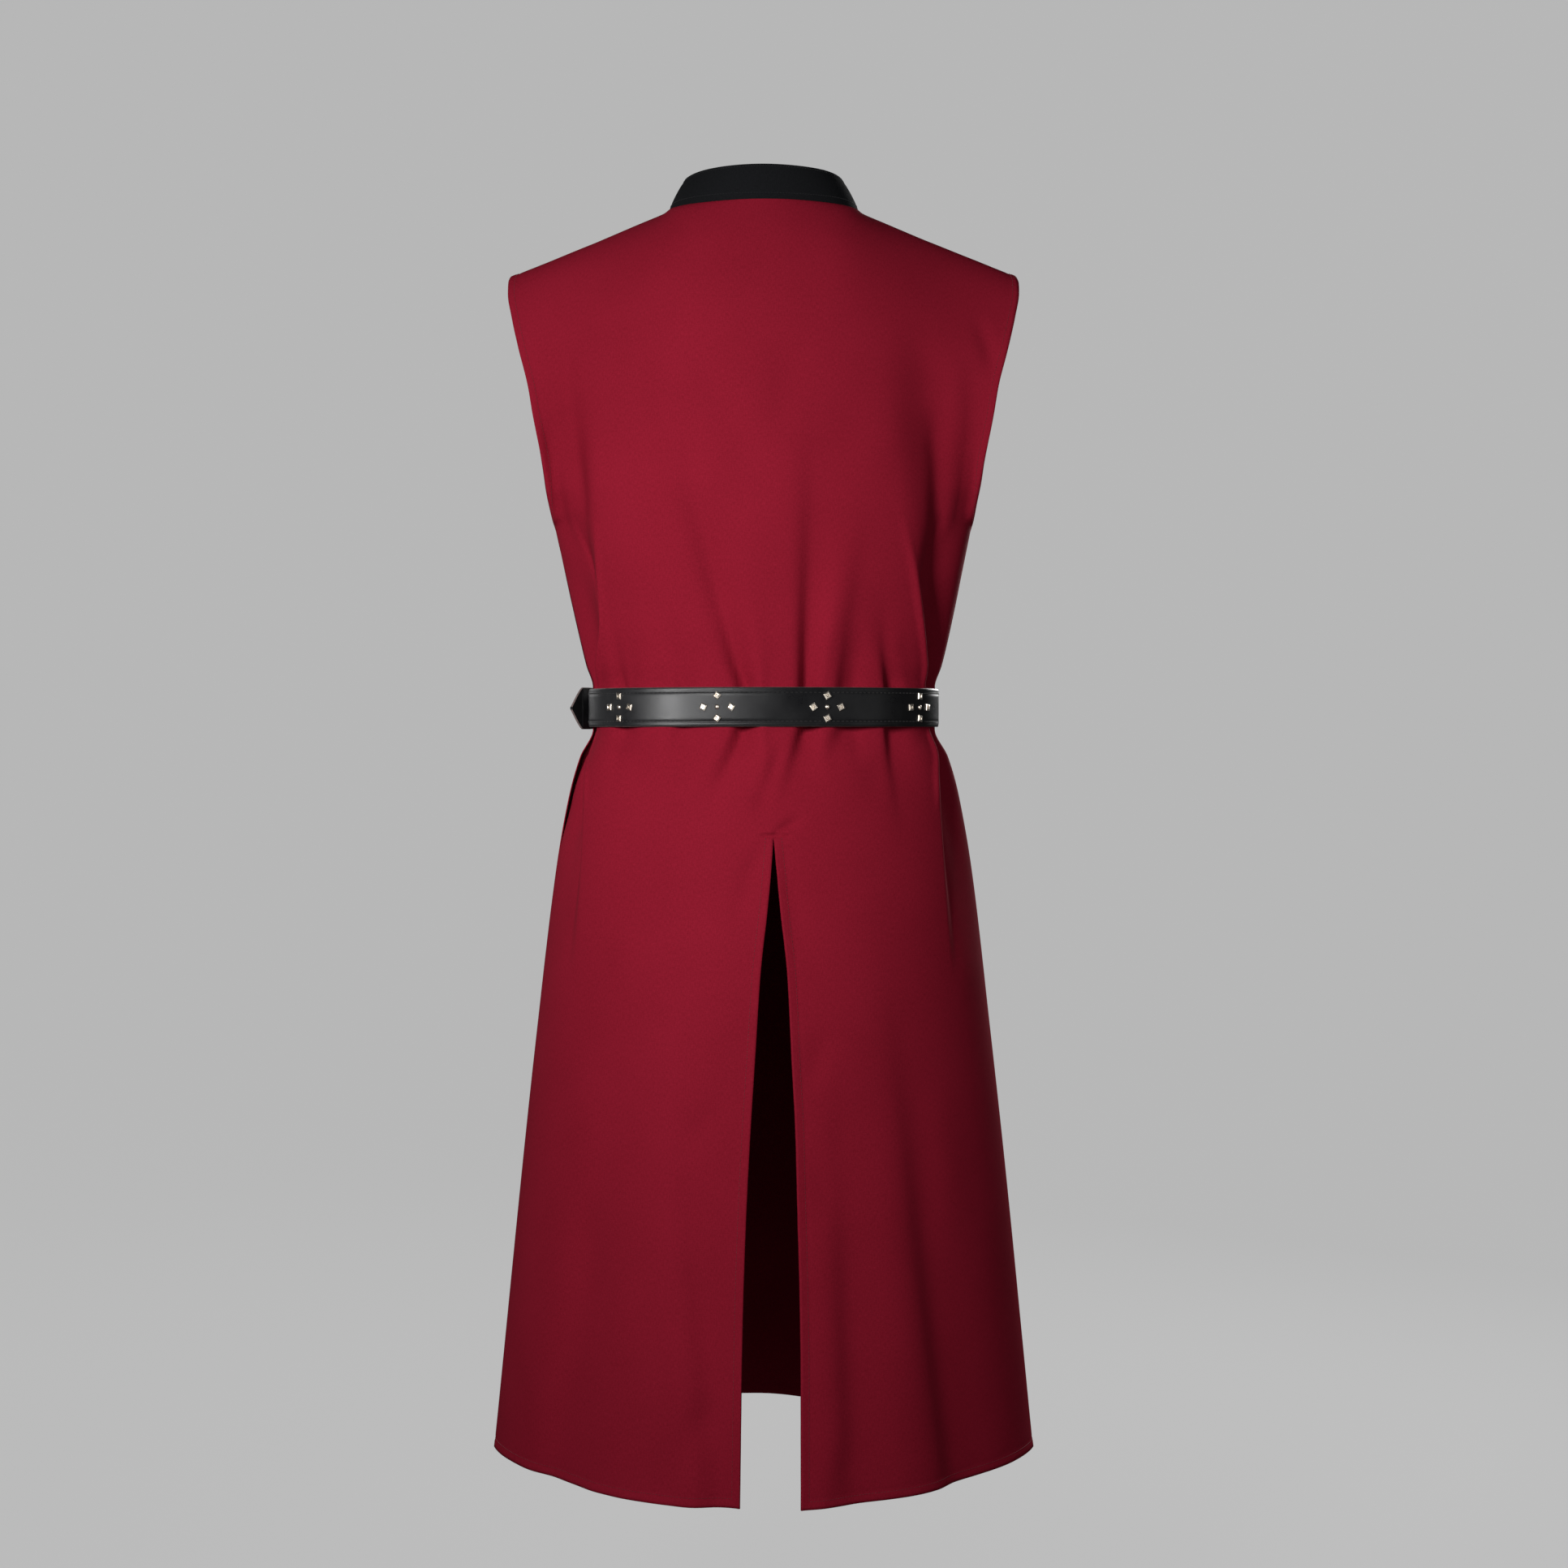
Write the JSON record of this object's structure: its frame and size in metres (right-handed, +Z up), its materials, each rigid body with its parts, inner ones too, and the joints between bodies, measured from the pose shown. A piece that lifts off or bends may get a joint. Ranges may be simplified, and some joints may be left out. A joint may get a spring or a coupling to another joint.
{
  "type": "knight tabard",
  "caption": "Sleeveless calf-length knight's tabard with a black band collar, a slit back skirt and a studded leather belt, hollow as worn, open at the neck, arms and hem.",
  "frame": {"origin": "on the wearer's shoulders at the level of the neck's sides, in the middle of the neck opening", "axes": "+Z up, -Y towards the front, +X to the wearer's left"},
  "size_m": [0.572, 0.4217, 1.3432],
  "materials": {
    "tabard_cloth": "matte, close twill with a soft nap",
    "collar_cloth": "matte, black",
    "belt_leather": "satin, black, with pressed stitching",
    "buckle_metal": "polished nickel",
    "stud_metal": "polished, warm nickel"
  },
  "bodies": {
    "root": {"back_panel": "tabard_cloth", "front_panel": "tabard_cloth", "collar": "collar_cloth", "belt_strap": "belt_leather", "buckle_frame": "buckle_metal", "buckle_prong": "buckle_metal", "stud_1_mid": "stud_metal", "stud_1_top": "stud_metal", "stud_1_low": "stud_metal", "stud_1_left": "stud_metal", "stud_1_right": "stud_metal", "stud_2_mid": "stud_metal", "stud_2_top": "stud_metal", "stud_2_low": "stud_metal", "stud_2_left": "stud_metal", "stud_2_right": "stud_metal", "stud_3_mid": "stud_metal", "stud_3_top": "stud_metal", "stud_3_low": "stud_metal", "stud_3_left": "stud_metal", "stud_3_right": "stud_metal", "stud_4_mid": "stud_metal", "stud_4_top": "stud_metal", "stud_4_low": "stud_metal", "stud_4_left": "stud_metal", "stud_4_right": "stud_metal", "stud_5_mid": "stud_metal", "stud_5_top": "stud_metal", "stud_5_low": "stud_metal", "stud_5_left": "stud_metal", "stud_5_right": "stud_metal", "stud_6_mid": "stud_metal", "stud_6_top": "stud_metal", "stud_6_low": "stud_metal", "stud_6_left": "stud_metal", "stud_6_right": "stud_metal", "stud_7_mid": "stud_metal", "stud_7_top": "stud_metal", "stud_7_low": "stud_metal", "stud_7_left": "stud_metal", "stud_7_right": "stud_metal"}
  },
  "joints": []
}
